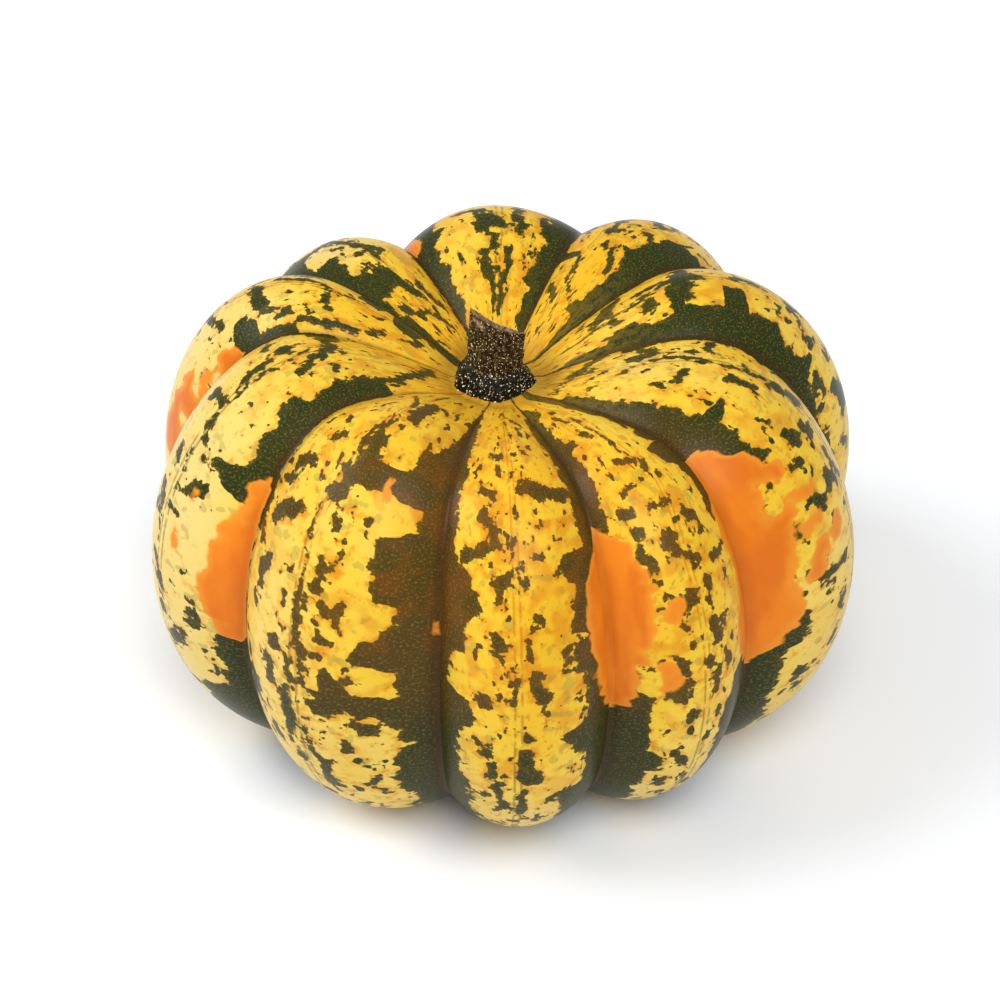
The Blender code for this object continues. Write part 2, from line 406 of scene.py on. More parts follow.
# Green blotches and streaks on each lobe, from the front lobe round: the breadth of the
# stroke in millimetres, then the places it runs through.
STROKES = (
    ((1.2, (.45, 8), (.55, 13), (.68, 17), (.62, 21)), (1.0, (.46, 13), (.49, 24)),
     (2.2, (.62, 19), (.62, 22)), (1.3, (.35, 25.5), (.37, 25.5)), (1.6, (.58, 28), (.65, 27.5)),
     (1.5, (.48, 30.5), (.60, 30)), (1.8, (.27, 30), (.37, 30.5)), (2.0, (.36, 34), (.36, 36)),
     (2.4, (.22, 41), (.30, 42)), (3.6, (.53, 41), (.85, 41.5)), (3.0, (.27, 46), (.32, 50)),
     (2.2, (.15, 56), (.28, 53.5), (.43, 52.5)), (2.6, (.35, 60), (.36, 63)),
     (1.5, (.42, 59), (.48, 57.5), (.50, 61)), (1.5, (.53, 66.5), (.58, 68.5), (.52, 69.5)),
     (3.2, (.34, 71.5), (.37, 73.5)), (1.2, (.39, 76), (.42, 78)), (1.2, (.50, 73), (.51, 79)),
     (3.0, (.54, 81), (.57, 85)), (1.8, (.57, 85), (.61, 91)), (1.3, (.43, 81), (.42, 86)),
     (3.2, (.26, 86), (.28, 87.5)), (1.2, (.40, 91), (.39, 94)),
     (2.2, (.26, 98), (.30, 105), (.35, 112), (.37, 118)), (3.6, (.49, 99), (.51, 107)),
     (3.0, (.54, 105), (.55, 107)), (2.0, (.47, 110), (.47, 119)), (2.0, (.70, 75.5), (.71, 78)),
     (1.2, (.55, 49), (.58, 49)), (1.4, (.64, 48.5), (.66, 48.5)), (1.3, (.55, 55), (.60, 55)),
     (1.2, (.78, 49), (.79, 49)), (1.6, (.23, 114), (.28, 114)), (2.0, (.64, 114), (.70, 113))),
    ((2.0, (.34, 13), (.39, 13)), (1.6, (.17, 17), (.21, 17)), (2.6, (.30, 16), (.34, 19)),
     (1.3, (.44, 20), (.50, 23)), (2.4, (.32, 25), (.35, 27)),
     (1.0, (.42, 20), (.45, 30), (.52, 38), (.62, 44)), (1.8, (.37, 37.5), (.48, 37.5)),
     (1.1, (.26, 44), (.38, 43.5), (.48, 43)), (3.0, (.19, 49), (.27, 49.5)), (1.3, (.40, 50), (.56, 50)),
     (2.4, (.63, 53), (.70, 54.5)), (2.8, (.40, 56.5), (.47, 58.5)), (2.8, (.55, 61.5), (.59, 63)),
     (2.0, (.70, 64.5), (.86, 63.5)), (1.3, (.60, 67), (.61, 69)), (3.2, (.42, 72), (.48, 70)),
     (2.4, (.25, 53), (.27, 62)), (1.3, (.27, 62), (.29, 65)), (3.2, (.56, 77), (.59, 80)),
     (2.0, (.60, 78), (.69, 77.5)), (1.3, (.40, 78), (.40, 79)),
     (2.4, (.34, 82), (.36, 88), (.28, 91), (.36, 92)), (2.2, (.50, 85), (.55, 93)),
     (1.6, (.56, 87), (.58, 91)), (1.5, (.65, 85), (.66, 90)), (2.0, (.39, 97), (.42, 98)),
     (.8, (.59, 98), (.55, 101), (.50, 105)), (2.2, (.33, 108), (.42, 112)),
     (2.2, (.29, 118), (.31, 120)), (1.2, (.42, 116), (.43, 124)), (1.2, (.75, 69), (.76, 70)),
     (1.6, (.68, 58), (.72, 58))),
    ((.9, (.12, 5), (.35, 5), (.50, 7), (.62, 8)), (3.2, (.60, 7.5), (.75, 9), (.95, 13)),
     (2.4, (.62, 11), (.70, 12)), (1.2, (.33, 10), (.45, 12), (.55, 14.5)), (1.0, (.14, 9), (.20, 9)),
     (1.0, (.20, 14), (.27, 13.5)), (1.4, (.48, 18.5), (.58, 20)), (4.2, (.72, 20.5), (.98, 20.5)),
     (2.6, (.78, 24), (.90, 23.5)), (1.7, (.36, 29), (.43, 31.5), (.54, 32.5)),
     (1.3, (.68, 24), (.72, 34), (.74, 46)), (1.4, (.77, 25), (.79, 34)), (2.8, (.85, 35), (.93, 37)),
     (3.2, (.60, 40.5), (.63, 45)), (1.4, (.80, 44), (.81, 44)), (3.0, (.47, 55.5), (.52, 57)),
     (2.0, (.40, 59), (.42, 60)), (3.2, (.62, 58.5), (.66, 60)), (3.0, (.73, 50), (.77, 56)),
     (2.6, (.40, 69), (.50, 70)), (3.2, (.52, 67.5), (.57, 70.5)), (1.5, (.64, 66), (.66, 73)),
     (1.1, (.26, 70), (.24, 74)), (2.6, (.30, 83.5), (.36, 85.5), (.46, 85)),
     (1.5, (.43, 93), (.42, 100), (.40, 106)), (2.0, (.25, 108), (.26, 112)),
     (1.4, (.33, 108), (.34, 109)), (1.3, (.45, 49), (.47, 51))),
    ((1.2, (.31, 10), (.36, 10)), (1.3, (.43, 5), (.45, 14), (.54, 22), (.59, 33)),
     (2.4, (.33, 18), (.45, 16.5)), (4.6, (.56, 15), (.67, 16), (.83, 19.5)),
     (1.3, (.66, 12), (.74, 11), (.85, 13)), (2.0, (.48, 21), (.50, 24)), (2.8, (.33, 24.5), (.45, 26)),
     (2.6, (.64, 25), (.67, 29)), (3.8, (.30, 31), (.55, 33), (.85, 35.5)), (3.4, (.63, 31), (.62, 36)),
     (2.4, (.61, 45), (.57, 50)), (2.0, (.32, 52), (.40, 52)), (1.8, (.40, 57), (.50, 57)),
     (2.0, (.28, 59), (.35, 58.5)), (2.4, (.11, 68), (.16, 67), (.17, 70)), (1.6, (.09, 72), (.11, 73)),
     (5.0, (.28, 74), (.32, 79)), (1.3, (.33, 66), (.36, 68)), (2.4, (.20, 84), (.24, 88))),
    ((1.2, (.52, 5.5), (.62, 5.5)), (2.8, (.71, 13.5), (.80, 16.5), (.90, 18)),
     (1.5, (.47, 16.5), (.57, 18), (.69, 20.5)), (1.8, (.62, 21), (.68, 23), (.70, 26)),
     (2.4, (.74, 27), (.86, 26.5), (1.0, 28)), (1.8, (.30, 24.5), (.37, 28), (.43, 30.5), (.54, 31)),
     (1.8, (.42, 36), (.55, 36.5), (.70, 35.5)), (2.8, (.63, 35), (.70, 44)),
     (1.4, (.32, 38.5), (.43, 40)), (2.8, (.42, 46), (.55, 51)), (1.8, (.85, 36), (.90, 41)),
     (1.2, (.25, 13), (.36, 14)), (1.4, (.40, 49), (.45, 53))),
    ((1.3, (.24, 15.5), (.26, 15.5)), (2.4, (.37, 24), (.40, 16), (.47, 9)), (2.8, (.53, 10), (.52, 17)),
     (1.3, (.47, 9), (.57, 9.5)), (3.4, (.48, 19), (.60, 19), (.57, 23)), (1.0, (.45, 24), (.44, 31)),
     (2.8, (.50, 25), (.52, 29)), (3.0, (.29, 32.5), (.35, 36)), (1.4, (.34, 32), (.43, 31)),
     (4.6, (.49, 34), (.56, 32.5), (.55, 36)), (2.0, (.17, 36), (.18, 41)), (2.4, (.37, 37), (.36, 46)),
     (2.6, (.56, 40), (.68, 42)), (1.4, (.24, 30), (.30, 30))),
    ((2.2, (.30, 7), (.38, 9.5), (.48, 12), (.60, 14), (.75, 16), (.82, 18)), (1.6, (.66, 7), (.69, 13)),
     (2.6, (.70, 12), (.72, 15)), (1.1, (.80, 6), (.86, 6.5)),
     (2.2, (.18, 14.5), (.28, 16), (.33, 19), (.31, 22)), (1.8, (.40, 13), (.43, 17)),
     (4.6, (.45, 19), (.52, 22), (.56, 26), (.62, 28)), (2.0, (.60, 24), (.76, 24)),
     (2.2, (.60, 30.5), (.65, 30)), (1.6, (.47, 30), (.49, 35), (.58, 36)), (2.8, (.38, 34), (.44, 36)),
     (2.0, (.76, 21), (.82, 24)), (2.4, (.95, 14), (.96, 15)), (2.8, (.49, 38), (.50, 50)),
     (1.8, (.56, 41), (.61, 42)), (4.0, (.60, 49), (.85, 52))),
    ((1.3, (.27, 6.5), (.36, 6)), (2.2, (.50, 8), (.64, 8), (.70, 11)), (2.6, (.79, 17), (.84, 18)),
     (1.3, (.47, 24), (.50, 29)), (2.0, (.50, 29), (.63, 28), (.74, 28.5)), (3.2, (.87, 22), (.88, 33)),
     (1.3, (.73, 32.5), (.78, 32.5)), (2.0, (.45, 30), (.43, 38), (.42, 41)),
     (2.8, (.79, 36.5), (.83, 38)), (3.2, (.50, 45), (.64, 43.5), (.77, 41.5)),
     (5.4, (.82, 48.5), (.93, 47)), (2.2, (.50, 59), (.60, 57), (.70, 55))),
    ((3.0, (.15, 4.5), (.35, 5), (.50, 7), (.63, 9.5), (.73, 13), (.80, 18), (.82, 22)),
     (2.8, (.05, 27), (.20, 28), (.33, 27), (.42, 28.5), (.50, 31)), (1.0, (.50, 23), (.51, 23)),
     (3.4, (.26, 36), (.33, 37)), (1.5, (.60, 28), (.69, 28)), (2.4, (.54, 33), (.63, 35.5)),
     (1.0, (.40, 33), (.48, 38), (.50, 48), (.52, 56), (.57, 59.5), (.65, 61.5), (.75, 60)),
     (1.0, (.33, 29), (.37, 33)), (2.2, (.40, 41), (.44, 45)), (2.2, (.13, 40.5), (.22, 41.5)),
     (2.8, (.35, 53.5), (.47, 51.5)), (1.2, (.63, 47), (.66, 47)), (2.4, (.63, 69), (.68, 66)),
     (2.6, (.42, 64), (.44, 66)), (1.6, (.55, 74), (.63, 75)), (2.4, (.44, 74), (.47, 76)),
     (.8, (.50, 63), (.54, 70)), (2.2, (.50, 88), (.58, 92)), (2.4, (.77, 93), (.79, 95)),
     (2.8, (.62, 105), (.69, 100)), (2.0, (.56, 97), (.58, 98))),
    ((1.8, (.42, 9), (.50, 16)), (1.3, (.25, 17), (.45, 22), (.53, 27)), (5.4, (.60, 21), (.60, 28)),
     (2.4, (.66, 19), (.72, 20)), (1.0, (.48, 30), (.45, 40), (.42, 52), (.40, 62), (.42, 72), (.43, 80)),
     (1.0, (.52, 31), (.49, 40)), (1.4, (.21, 41), (.29, 40)), (3.0, (.12, 49), (.20, 47.5)),
     (2.4, (.08, 54), (.13, 53.5)), (1.2, (.55, 62), (.56, 65)),
     (3.2, (.28, 57.5), (.20, 60), (.15, 61.5)), (3.2, (.19, 70), (.16, 75)), (2.4, (.30, 82), (.30, 85)),
     (3.0, (.28, 89.5), (.30, 92)), (3.8, (.52, 38), (.53, 42)), (3.0, (.48, 47), (.46, 52)),
     (2.4, (.53, 55), (.53, 57)), (1.8, (.50, 65), (.48, 71), (.55, 73)), (2.0, (.60, 72), (.60, 74)),
     (1.3, (.48, 75), (.57, 80)), (3.2, (.53, 94), (.60, 93)), (1.8, (.47, 81), (.48, 89)),
     (1.6, (.40, 83), (.40, 92)), (3.0, (.40, 95), (.41, 103)), (1.4, (.41, 103), (.42, 112)),
     (4.4, (.62, 87), (.61, 91)), (2.8, (.71, 97), (.75, 98)), (2.0, (.65, 101), (.65, 104)),
     (2.8, (.53, 110), (.57, 117)), (1.2, (.48, 98), (.50, 108)), (1.3, (.73, 112), (.73, 114)),
     (2.8, (.28, 107), (.30, 109)), (3.2, (.13, 98), (.16, 102)), (1.6, (.14, 79), (.14, 81)),
     (1.5, (.33, 73), (.34, 76)), (1.5, (.08, 66), (.09, 69))),
)
# Orange islets, and holes of plain skin in the orange or in the green, by lobe.
ISLETS = {
    1: ((3.6, (.33, 72), (.36, 70.5)), (3.4, (.27, 84), (.28, 88))),
    2: ((3.0, (.33, 64.5), (.38, 66)), (2.8, (.30, 72.5), (.38, 71.5)), (2.8, (.43, 78), (.48, 76)),
        (3.0, (.34, 78), (.29, 82.5))),
    8: ((2.2, (.65, 78), (.66, 80)), (1.4, (.66, 68), (.67, 69))),
    9: ((1.8, (.68, 46.5), (.69, 49.5)),),
}
HOLES = {
    7: ((2.8, (.80, 62), (.88, 67)), (2.2, (.86, 76), (.93, 82)), (1.8, (.93, 60), (.96, 63))),
    2: ((3.4, (.22, 60), (.20, 64)), (1.5, (.80, 19), (.90, 21))),
    5: ((2.2, (.20, 21), (.20, 23.5)),),
    6: ((2.2, (.60, 20.5), (.72, 20)), (2.6, (.66, 33), (.76, 32))),
    9: ((2.4, (.80, 52), (.70, 51.5)), (2.2, (.80, 86), (.72, 88))),
}
# The line that runs along each lobe's crest: share of the lobe by place, and where it shows.
CRESTS = (
    ((5, .44), (30, .45), (120, .45)),
    ((8, .40), (30, .46), (44, .58), (60, .50), (130, .48)),
    ((5, .40), (14, .60), (46, .76), (60, .72), (75, .62), (130, .45)),
    ((5, .43), (14, .46), (33, .60), (60, .52), (130, .5)),
    ((8, .50), (20, .68), (40, .66), (130, .5)),
    ((5, .49), (30, .455), (60, .47), (130, .5)),
    ((5, .50), (130, .5)),
    ((5, .47), (60, .52), (130, .5)),
    ((25, .40), (38, .47), (56, .52), (90, .56), (130, .6)),
    ((15, .49), (40, .46), (62, .40), (80, .42), (110, .44), (130, .5)),
)
# How golden the skin is along each lobe's crest, from pale cream at 0 to deep gold at 1. The low
# values of the left-hand lobes, which face the key lamp, are partly painted sheen.
GOLD_PLACES = (5, 20, 40, 60, 80, 100, 125)
GOLD = (
    (1.0, 1.0, .95, .95, .95, .70, .30),
    (1.0, .80, .95, 1.0, .85, .45, .15),
    (.90, .40, .75, .60, .42, .38, .40),
    (.90, .60, .70, .60, .40, .35, .30),
    (1.0, 1.0, .80, .70, .60, .50, .40),
    (.90, .75, .70, .60, .50, .40, .40),
    (1.0, .90, .35, .15, .15, .20, .20),
    (1.0, .95, .50, .05, .05, .05, .10),
    (1.0, .80, .35, .10, .05, .08, .15),
    (1.0, .90, .75, .65, .55, .40, .40),
)


def along_places(profile, places):
    """The profile's values at these places, level near each stop with a quick step between."""
    stops, values = (np.array(column) for column in zip(*profile))
    part = np.interp(places, stops, np.arange(len(stops)))
    low = np.minimum(part.astype(int), len(stops) - 2)
    step = np.clip((part - low - 0.5) * STEP_QUICKNESS + 0.5, 0.0, 1.0)
    return values[low] * (1 - step) + values[low + 1] * step


def furrow_depth(table, share, lobe, places):
    """How many millimetres inside the furrows' patches each point lies, negative outside."""
    depth = np.full(places.shape, FAR_OUTSIDE)
    for furrow, (before, after) in table:
        after_depth = (along_places(after, places) - share) * LOBE_BREADTH
        before_depth = (along_places(before, places) - 1 + share) * LOBE_BREADTH
        depth = np.where(lobe == furrow, np.maximum(depth, after_depth), depth)
        depth = np.where((lobe + 1) % LOBE_COUNT == furrow, np.maximum(depth, before_depth), depth)
    return depth


def stroke_depth(table, around, places):
    """How many millimetres inside the strokes each point lies, negative outside."""
    depth = np.full(places.shape, FAR_OUTSIDE)
    for lobe, strokes in table:
        half = LOBE_COUNT / 2
        across = ((around - lobe - 0.5 + half) % LOBE_COUNT - half + 0.5) * LOBE_BREADTH
        for breadth, *stops in strokes:
            for (share, place), (next_share, next_place) in zip(stops, stops[1:]):
                run = (next_share - share) * LOBE_BREADTH, next_place - place
                x, y = across - share * LOBE_BREADTH, places - place
                part = np.clip((x * run[0] + y * run[1]) / max(run[0] ** 2 + run[1] ** 2, 1e-9), 0.0, 1.0)
                gap = ((x - part * run[0]) ** 4 + (y - part * run[1]) ** 4) ** 0.25
                depth = np.maximum(depth, breadth / 2 - gap)
    return depth


def lobes_apart(around, centre):
    """How many lobes lie between each point and the centre, the shorter way round."""
    return np.abs((around - centre + LOBE_COUNT / 2) % LOBE_COUNT - LOBE_COUNT / 2)


grid_around, grid_along = np.meshgrid(column_around, row_along[1:-1])
grid_points = rind_points(grid_around, grid_along)
grid_lobe = grid_around.astype(int)
grid_share = grid_around - grid_lobe
grid_place = np.meshgrid(column_around, row_length[1:-1])[1] * 1000 - SEAT_RADIUS * 1000

# The listed edges waver, and only the crest lines keep to the calm places.
sway = np.array([noise.noise_vector(Vector(point) * SWAY_FINENESS) for point in grid_points.reshape(-1, 3)])
sway = sway.reshape(grid_points.shape) * SWAY_REACH
calm_share, calm_place = grid_share, grid_place
grid_share = np.clip(grid_share + sway[..., 0] / LOBE_BREADTH, 0.0, 0.9999)
grid_around = grid_lobe + grid_share
grid_place = grid_place + sway[..., 1]

green = furrow_depth(enumerate(GREEN), grid_share, grid_lobe, grid_place)
green = np.maximum(green, stroke_depth(enumerate(STROKES), grid_around, grid_place))
holes = stroke_depth(HOLES.items(), grid_around, grid_place)
green = np.minimum(green, -holes)
orange = furrow_depth(ORANGE.items(), grid_share, grid_lobe, grid_place)
orange = np.maximum(orange, stroke_depth(ISLETS.items(), grid_around, grid_place))
orange = np.minimum(orange, -holes)

crest = np.zeros(grid_place.shape)
for lobe, profile in enumerate(CRESTS):
    line = np.interp(calm_place, *zip(*profile))
    crest = np.where(grid_lobe == lobe, (calm_share - line) * LOBE_BREADTH, crest)

# The gold of a lobe's crest goes over evenly into that of the next lobe.
gold_rows = np.array([np.interp(grid_place[:, 0], GOLD_PLACES, values) for values in GOLD])
from_crest = (column_around - 0.5) % LOBE_COUNT
low_lobe = from_crest.astype(int)
high_lobe = (low_lobe + 1) % LOBE_COUNT
part = (from_crest - low_lobe)[:, None]
gold = (gold_rows[low_lobe] * (1 - part) + gold_rows[high_lobe] * part).T

# The greens of the two front furrows are brown where the fruit ripened most.
brown = np.clip((1.75 - lobes_apart(grid_around, 0.6)) / 0.8, 0.0, 1.0)
brown *= np.interp(grid_place, (0, 25, 40, 70, 88, 100, 140), (0.3, 0.7, 1.0, 1.0, 0.6, 0.1, 0.0))
# Close to the stem the greens of the right-hand lobes are a paler olive.
olive = np.clip((30 - grid_place) / 20, 0.0, 1.0) * np.where(grid_lobe < 5, 0.75, 0.2)
# The back and the underside carry looser mottling than the side whose markings are listed one by one.
behind = np.clip((lobes_apart(grid_around, 0.0) - 2.2) / 2.0, 0.0, 1.0)
below_crown = np.clip((grid_place - 42) / 15, 0.0, 1.0)
underneath = np.clip((grid_place - 112) / 12, 0.0, 1.0)
wild = np.maximum(behind * below_crown, underneath)


def lay_map(mesh, columns, column_of, up_of):
    """The piece's map: round it by each point's column, up it by each point's share. Faces over
    the seam go on past the last column, and a pole lies midway over its triangles."""
    corner = np.array([loop.vertex_index for loop in mesh.loops])
    across = column_of[corner].astype(float)
    for polygon in mesh.polygons:
        loops = list(polygon.loop_indices)
        own = across[loops]
        if len(loops) < 5 and own.max() - own.min() > columns / 2:
            across[loops] = np.where(own < columns / 2, own + columns, own)
        if len(loops) == 3:
            across[loops[0]] = across[loops[1:]].mean()
    places = np.stack([across / columns, up_of[corner]], axis=-1)
    mesh.uv_layers.new(name="OFBake").data.foreach_set("uv", places.ravel())


def rings(count, columns):
    """The numbers of the points ring by ring, and of each one's neighbour in its ring."""
    index = np.arange(count * columns).reshape(count, columns)
    return index, np.roll(index, -1, axis=1)


rind_mesh = bpy.data.meshes.new("rind")
seat_point = rind_points(np.array([0.0]), np.array([0.0]))
scar_point = rind_points(np.array([0.0]), np.array([float(STRETCHES)]))
points = np.concatenate([grid_points.reshape(-1, 3), seat_point, scar_point])
box_low, box_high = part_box("fruit")
points = np.clip(points, np.array(box_low), np.array(box_high))
rows = RIND_ROWS - 1
index, right = rings(rows, RIND_COLUMNS)
quads = np.stack([index[:-1], index[1:], right[1:], right[:-1]], axis=-1).reshape(-1, 4)
seat, scar = rows * RIND_COLUMNS, rows * RIND_COLUMNS + 1
faces = quads.tolist()
faces += [(seat, a, b) for a, b in zip(index[0].tolist(), right[0].tolist())]
faces += [(scar, b, a) for a, b in zip(index[-1].tolist(), right[-1].tolist())]
rind_mesh.from_pydata(points.tolist(), [], faces)
rind_mesh.shade_smooth()

# One map serves the pattern: across it the lobes, up it the length of the skin.
column_of = np.concatenate([np.tile(np.arange(RIND_COLUMNS), rows), [0, 0]])
length_of = np.concatenate([np.repeat(row_length[1:-1], RIND_COLUMNS), [0.0, skin_length]])
lay_map(rind_mesh, RIND_COLUMNS, column_of, 1 - length_of / skin_length)


def store(mesh, name, values, seat_value, scar_value):
    """Keeps a number for each point of the grid, and one for each of the two poles."""
    values = np.concatenate([values.ravel(), [seat_value, scar_value]])
    mesh.attributes.new(name, "FLOAT", "POINT").data.foreach_set("value", values.astype(np.float32))


store(rind_mesh, "green_depth", green, -9, 2)
store(rind_mesh, "orange_depth", orange, -9, -9)
store(rind_mesh, "crest_gap", crest, 9, 9)
store(rind_mesh, "gold", gold, 1, 0.5)
store(rind_mesh, "brown", brown, 0, 0)
store(rind_mesh, "wild", wild, 0, 0.5)
store(rind_mesh, "olive", olive, 0, 0)

rind = Finish("rind")
map_across, map_up = rind.map_place()
across = map_across * (LOBE_COUNT * LOBE_BREADTH)
down = (1 - map_up) * (skin_length * 1000) - SEAT_RADIUS * 1000

# The skin is mottled in blocks whose edges waver and whose columns have slid up or down.
BLOCK_WIDTH = 1.5          # millimetres
BLOCK_HEIGHT = 1.4
BLOCK_WAVER = 0.9          # how far the edges waver, in blocks

block_place = rind.vector(across / BLOCK_WIDTH, down / BLOCK_HEIGHT, 1.7)
drift = rind.add("ShaderNodeTexNoise", {}, {"Vector": block_place, "Scale": 0.9, "Detail": 1.0}, 1)
moved = rind.add("ShaderNodeVectorMath", {"operation": "MULTIPLY_ADD"},
                 {0: drift, 1: (BLOCK_WAVER, BLOCK_WAVER, 0.0), 2: block_place})
moved_across, moved_down = rind.split(moved)
block_column = moved_across.whole()
slide = rind.add("ShaderNodeTexWhiteNoise", {"noise_dimensions": "1D"}, {"W": block_column + 3.1}, "Value")
block_row = (moved_down + slide).whole()
block_across = block_column * BLOCK_WIDTH
block_down = (block_row - slide) * BLOCK_HEIGHT
block = rind.noise(rind.vector(block_across / 3.6, block_down / 2.8, 3.0), 1.0, 1.0)
wave = rind.noise(rind.vector(across, down, 5.0), 0.42, 2.0)
ripple = rind.noise(rind.vector(across, down, 6.0), 1.3, 1.0)
fleck = rind.noise(rind.vector(across, down * 0.8, 7.0), 0.34, 2.0)
small_fleck = rind.noise(rind.vector(across, down * 0.8, 9.0), 0.75, 1.0)
wild_field = rind.field("wild")
marks = rind.field("green_depth") + (block - 0.5) * 2.0 + (wave - 0.5) * 4.6 + (ripple - 0.5) * 1.1
loose = (fleck - 0.655 + wild_field * 0.07) * 16.0 + (block - 0.5) * 3.0 + (ripple - 0.5) * 1.2
specks = (small_fleck - 0.76 + wild_field * 0.03) * 8.0 + (ripple - 0.5) * 0.8
depth = marks.over(loose).over(specks)
is_green = depth.step(-0.18, 0.18)

orange_edge = rind.noise(rind.vector(across, down, 2.0), 0.35, 2.0)
orange_depth = rind.field("orange_depth") + (orange_edge - 0.5) * 3.0
is_orange = orange_depth.step(-0.5, 0.4)

# plain skin: cream to gold, the cream of the left-hand lobes partly painted sheen, goldener in
# patches, blushed and freckled beside the greens, golden brown and partly painted shade at the stem's seat
patch = rind.noise(rind.vector(across, down, 12.0), 0.20, 1.5)
dapple = rind.noise(rind.vector(across, down, 14.0), 0.42, 2.0)
wash = rind.noise(rind.vector(across, down * 0.6, 4.0), 0.07, 2.0)
ghost = rind.noise(rind.vector(across, down, 16.0), 0.40, 1.0) + (block - 0.5) * 0.15
brown_field = rind.field("brown") + (dapple - 0.5) * 0.5
gold_field = rind.field("gold") + (wash - 0.5) * 0.8 + (dapple - 0.5) * 0.2
cream_and_sheen = linear(222, 196, 118)
yellow = linear(226, 188, 54)
deep_gold = linear(220, 166, 26)
amber = linear(204, 124, 20)
# Cream where the gold is low: the skin's own pale cream, and on the left-hand lobes partly painted sheen.
skin_colour = rind.mix(gold_field.step(-0.1, 0.75), cream_and_sheen, yellow)
skin_colour = rind.mix(gold_field.step(0.5, 1.2) * 0.8, skin_colour, deep_gold)
skin_colour = rind.mix(patch.step(0.48, 0.66) * gold_field.step(0.1, 0.9) * 0.6, skin_colour, amber)
blush = depth.step(-1.8, -0.2) * dapple.step(0.46, 0.60)
skin_colour = rind.mix(blush * gold_field.step(-0.4, 0.8) * 0.75, skin_colour, amber)
skin_colour = rind.mix(ghost.step(0.60, 0.68) * 0.40, skin_colour, linear(140, 130, 56))
crest_gap = rind.field("crest_gap")
pair = (crest_gap.size() - 0.7).size().step(0.45, 0.1) * dapple.step(0.36, 0.50) * down.step(4.0, 14.0)
pair_colour = rind.mix(brown_field, linear(84, 84, 32), linear(190, 112, 26))
skin_colour = rind.mix(pair * 0.6, skin_colour, pair_colour)
# Within 7 mm of the stem's seat the skin goes golden brown: partly its own colour, partly painted shade in
# the hollow round the stem.
skin_colour = rind.mix(down.step(7.0, 0.0) * 0.5, skin_colour, linear(150, 104, 34))
orange_colour = rind.mix(rind.noise(rind.vector(across, down * 0.3, 6.0), 0.2, 2.0).step(0.35, 0.65),
                         linear(222, 124, 28), linear(210, 108, 24))
orange_colour = rind.mix((1 - orange_depth.step(0.0, 2.6)) * 0.6, orange_colour, linear(226, 148, 44))

# green skin: near black in the back, olive and brown in front, paler at its edges and pricked
# with fine pale dots
stipple = rind.noise(rind.vector(across, down, 8.0), 2.0, 2.0)
dark = rind.mix(brown_field, linear(38, 48, 18), linear(98, 62, 18))
dark = rind.mix(rind.field("olive") * dapple.step(0.35, 0.55), dark, linear(116, 94, 26))
dark = rind.mix(patch.step(0.62, 0.40) * brown_field * 0.6, dark, linear(58, 56, 20))
dark = rind.mix(stipple.step(0.50, 0.70) * 0.42, dark, linear(138, 116, 42))
dark = rind.mix((1 - depth.step(0.0, 1.4)) * 0.30, dark, linear(112, 92, 28))
colour = rind.mix(is_green, skin_colour, dark)
colour = rind.mix(is_orange, colour, orange_colour)
# Painted shade: the colour darkens towards deep brown within a few millimetres of each furrow's floor, less
# in the orange windows.
lobes_passed = across / LOBE_BREADTH
crease_shade = ((lobes_passed - (lobes_passed + 0.5).whole()) * LOBE_BREADTH).size().step(2.4, 0.0)
colour = rind.mix(crease_shade * (1 - is_orange * 0.7) * 0.55, colour, linear(60, 32, 14))
rind.set(rind.shader, {"Base Color": colour, "Roughness": 0.32, "Specular IOR Level": 0.1})
rind_mesh.materials.append(rind.material)

rind_piece = bpy.data.objects.new("rind", rind_mesh)
bpy.context.scene.collection.objects.link(rind_piece)
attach(rind_piece, "root")
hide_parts("fruit")

# The stem: a dry stub with five low ribs on a sloping collar, cut off at a slant. It is dark,
# nearly black at the collar, with pale flecks and painted glints all over, a lighter olive left side and a
# darker red-brown right side that are mostly painted light and shade, a pale patch on the left and a paler
# end.
STEM_SHIFT = -0.0007
STEM_SINK = 0.0003
STEM_NECK_RADIUS = 0.0055
STEM_FLATNESS = 0.25
STEM_COLLAR_SPREAD = 0.0028
STEM_COLLAR_RISE = 0.28
STEM_COLLAR_POWER = 0.75
STEM_RIBS = 5
STEM_RIB_DEPTH = 0.06
STEM_FRONT_RIB = -84
STEM_CUT_HEIGHT = 0.0135
STEM_CUT_SLOPE = (-0.65, -0.62)
STEM_CUT_HOLLOW = 50.0
STEM_BEND = 0.0007
STEM_COLUMNS = 220
STEM_ROWS = 110
STEM_ROW_CROWDING = 1.3    # 1 spaces the rows evenly, more crowds them at the foot
STEM_RIB_EDGE = 0.3        # 0 is a round rib, more is one with a sharper crest
CUT_ROWS = 30
CUT_DISH = 0.0010
STEM_UP = 0.80             # share of the stem's map that its side takes, the rest is its end
STEM_GIRTH = 36.0          # millimetres round the stem and along its map, for its finish
STEM_LENGTH = 22.0

